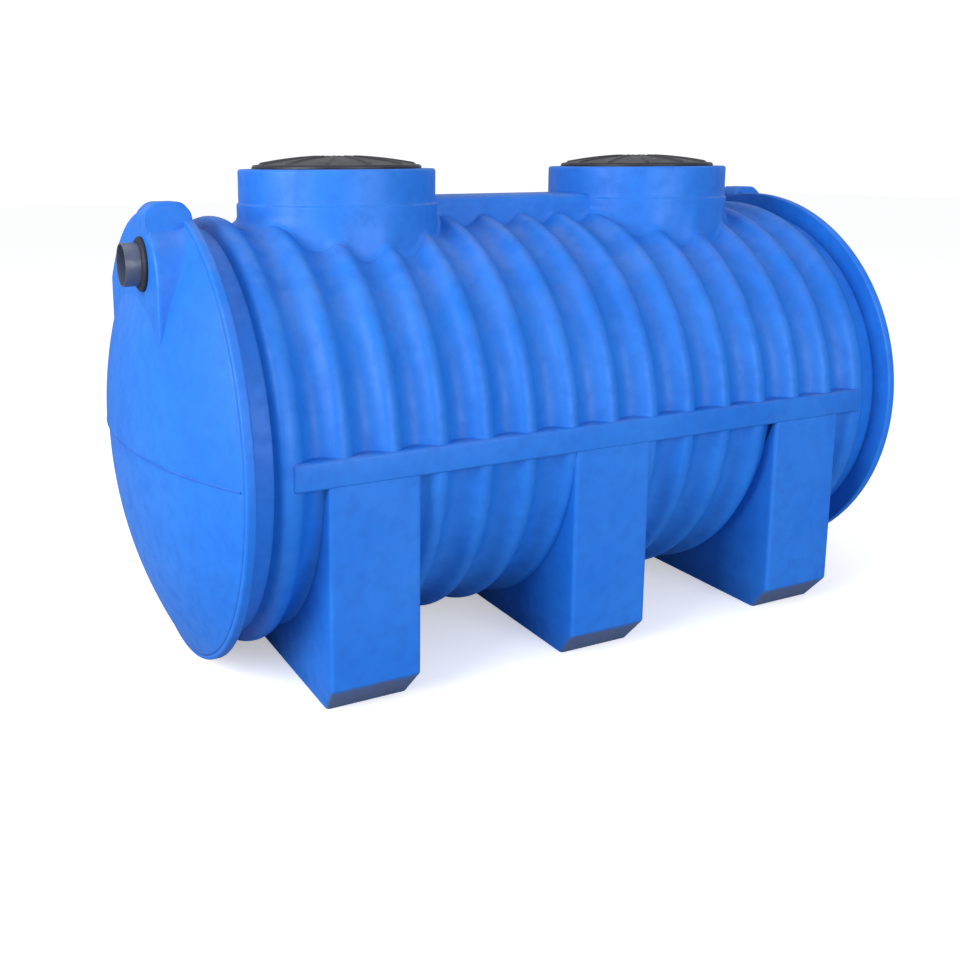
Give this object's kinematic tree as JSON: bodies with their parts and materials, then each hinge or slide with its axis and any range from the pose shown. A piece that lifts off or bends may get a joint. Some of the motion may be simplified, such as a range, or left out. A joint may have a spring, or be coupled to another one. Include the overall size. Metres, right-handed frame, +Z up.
{
  "type": "septic tank",
  "caption": "Horizontal moulded septic tank with a ribbed barrel, domed ends, saddle feet, an inlet and an outlet pipe, and two manholes with lift-off lids.",
  "frame": {"origin": "on the ground, under the middle of the tank", "axes": "+X along the tank in the direction of flow, from the inlet to the outlet, +Y to the left, +Z up"},
  "size_m": [2.376, 1.22, 1.3556],
  "materials": {
    "tank_blue": "rotomoulded polyethylene, satin",
    "lid_black": "moulded polyethylene, satin",
    "pipe_grey": "extruded PVC, smooth",
    "seal_rubber": "moulded rubber, dull"
  },
  "bodies": {
    "tank": {"shell_bottom_left": "tank_blue", "shell_bottom_right": "tank_blue", "shell_low_left": "tank_blue", "shell_low_right": "tank_blue", "shell_high_left": "tank_blue", "shell_high_right": "tank_blue", "crown_inlet_end": "tank_blue", "crown_inlet_manhole": "tank_blue", "crown_middle": "tank_blue", "crown_outlet_manhole": "tank_blue", "crown_outlet_end": "tank_blue", "flange_inlet": "tank_blue", "flange_outlet": "tank_blue", "dome_inlet": "tank_blue", "dome_outlet": "tank_blue", "rail_left": "tank_blue", "rail_right": "tank_blue", "deck": "tank_blue", "foot_inlet_left": "tank_blue", "foot_inlet_right": "tank_blue", "foot_middle_left": "tank_blue", "foot_middle_right": "tank_blue", "foot_outlet_left": "tank_blue", "foot_outlet_right": "tank_blue", "neck_inlet": "tank_blue", "neck_outlet": "tank_blue", "pad_inlet": "tank_blue", "pad_outlet": "tank_blue", "pipe_inlet": "pipe_grey", "pipe_outlet": "pipe_grey", "seal_inlet": "seal_rubber", "seal_outlet": "seal_rubber"},
    "inlet_lid": {"lid_inlet": "lid_black"},
    "outlet_lid": {"lid_outlet": "lid_black"}
  },
  "joints": [
    {"name": "inlet_lid_lift", "type": "slide", "parent": "tank", "child": "inlet_lid", "axis": [0, 0, 1], "range_m": [0, 0.45]},
    {"name": "outlet_lid_lift", "type": "slide", "parent": "tank", "child": "outlet_lid", "axis": [0, 0, 1], "range_m": [0, 0.45]}
  ]
}
